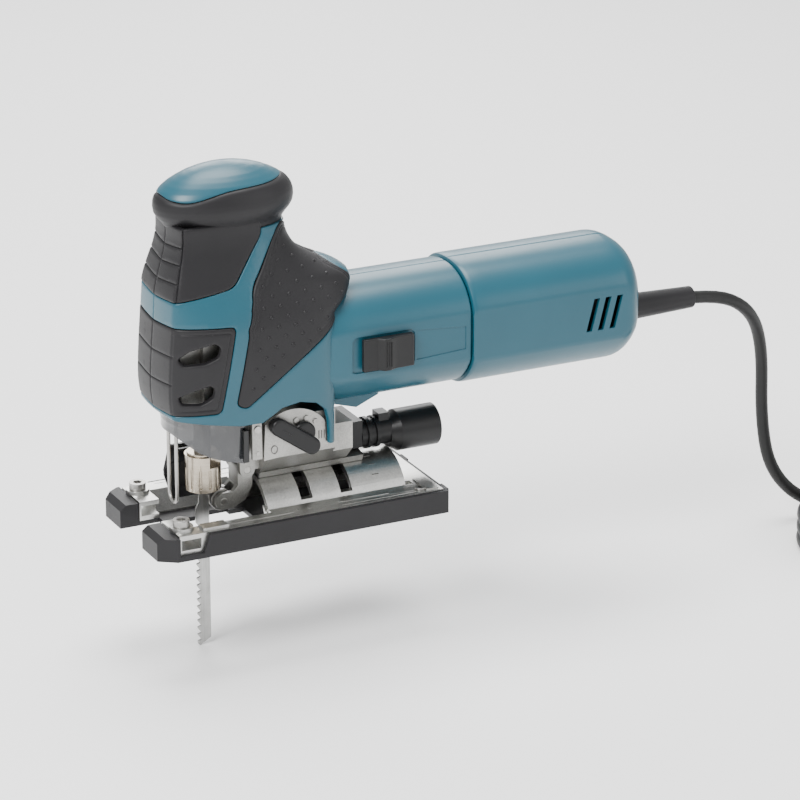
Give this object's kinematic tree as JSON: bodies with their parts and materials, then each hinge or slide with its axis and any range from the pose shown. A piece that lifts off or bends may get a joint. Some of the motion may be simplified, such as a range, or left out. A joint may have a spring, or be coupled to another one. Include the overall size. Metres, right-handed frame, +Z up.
{
  "type": "barrel grip jigsaw",
  "caption": "Corded barrel-grip jigsaw with a round palm knob, a tilting shoe, a blade in a quick clamp, an orbit lever and a dust spout.",
  "frame": {"origin": "centre of the sole's underside", "axes": "+X to the rear, where the cord leaves; +Z up; the orbit lever is on the -Y side"},
  "size_m": [0.4875, 0.1385, 0.2651],
  "materials": {
    "teal_shell": "moulded satin teal",
    "black_rubber": "soft overmoulded grip",
    "black_plastic": "satin black",
    "smoky_plastic": "clear smoky polycarbonate",
    "cast_aluminium": "die-cast",
    "steel": "machined",
    "nickel": "nickel plated",
    "bronze": "sintered bronze",
    "iron": "laminated iron with windings",
    "carbon": "carbon"
  },
  "bodies": {
    "housing": {"bevel_bolt_1": "steel", "bevel_bolt_2": "steel", "bevel_clamp_plate": "steel", "bracket_strip": "cast_aluminium", "brush_holder_left": "black_plastic", "brush_holder_right": "black_plastic", "brush_left": "carbon", "brush_right": "carbon", "cord_coil": "black_rubber", "cord_guard": "black_rubber", "cord_tube": "black_rubber", "dial_pin": "steel", "dust_hood": "black_plastic", "dust_nozzle": "black_plastic", "foot": "cast_aluminium", "front_bearing": "steel", "front_grip": "black_rubber", "gear_axle": "steel", "gear_housing": "cast_aluminium", "guard_wire": "steel", "head_shell_left": "teal_shell", "head_shell_right": "teal_shell", "knob_cap": "teal_shell", "knob_grip": "black_rubber", "lower_bush": "bronze", "motor_housing": "teal_shell", "plug": "black_plastic", "rear_bearing": "steel", "rear_cover": "teal_shell", "retainer_pin": "steel", "side_bracket": "cast_aluminium", "side_grip_left": "black_rubber", "side_grip_right": "black_rubber", "stator": "iron", "switch_body": "black_plastic", "upper_bush": "bronze", "upper_grip": "black_rubber"},
    "base": {"shoe": "cast_aluminium", "cover_plate": "black_plastic", "fence_bolt_left": "steel", "fence_bolt_right": "steel", "plate_screw_left": "steel", "plate_screw_right": "steel"},
    "retainer": {"retainer_arm": "steel", "roller_pin": "steel"},
    "roller_wheel": {"roller": "steel"},
    "lever": {"orbit_lever": "black_plastic"},
    "visor": {"dust_cover": "smoky_plastic", "dust_cover_clip": "black_plastic"},
    "plunger_unit": {"plunger": "steel", "blade": "steel", "clamp_collar": "nickel"},
    "clamp_sleeve": {"blade_clamp": "nickel"},
    "rotor": {"rotor_shaft": "steel", "rotor_core": "iron", "fan": "black_plastic", "commutator": "bronze"},
    "gear": {"drive_gear": "steel"},
    "slide_switch": {"switch_slider": "black_plastic"},
    "dial": {"speed_dial": "black_plastic"}
  },
  "joints": [
    {"name": "shoe_bevel", "type": "hinge", "parent": "housing", "child": "base", "pos_m": [0, 0, 0.002], "axis": [1, 0, 0], "range_deg": [-45, 45]},
    {"name": "plunger_stroke", "type": "slide", "parent": "housing", "child": "plunger_unit", "axis": [0, 0, 1], "range_m": [0, 0.026]},
    {"name": "clamp_turn", "type": "hinge", "parent": "plunger_unit", "child": "clamp_sleeve", "pos_m": [-0.04, 0, 0.03], "axis": [0, 0, 1], "range_deg": [0, 60], "stiffness_Nm_per_rad": 0.05},
    {"name": "retainer_swing", "type": "hinge", "parent": "housing", "child": "retainer", "pos_m": [-0.0187, 0, 0.0305], "axis": [0, 1, 0], "range_deg": [-3, 0]},
    {"name": "roller_spin", "type": "hinge", "parent": "retainer", "child": "roller_wheel", "pos_m": [-0.0309, 0, 0.0139], "axis": [0, 1, 0], "continuous": true},
    {"name": "orbit_turn", "type": "hinge", "parent": "housing", "child": "lever", "pos_m": [0.006, 0, 0.053], "axis": [0, 1, 0], "range_deg": [-55, 0]},
    {"name": "visor_slide", "type": "slide", "parent": "housing", "child": "visor", "axis": [0, 0, -1], "range_m": [0, 0.014]},
    {"name": "rotor_spin", "type": "hinge", "parent": "housing", "child": "rotor", "pos_m": [0, 0, 0.093], "axis": [1, 0, 0], "continuous": true},
    {"name": "gear_spin", "type": "hinge", "parent": "housing", "child": "gear", "pos_m": [0, 0, 0.1155], "axis": [1, 0, 0], "continuous": true},
    {"name": "switch_slide", "type": "slide", "parent": "housing", "child": "slide_switch", "axis": [-1, 0, 0], "range_m": [0, 0.005]},
    {"name": "dial_turn", "type": "hinge", "parent": "housing", "child": "dial", "pos_m": [0.1978, 0, 0.108], "axis": [0, 0, 1], "range_deg": [0, 270]}
  ],
  "couplings": [
    {"joint": "gear_spin", "follows": "rotor_spin", "ratio": -0.25}
  ]
}
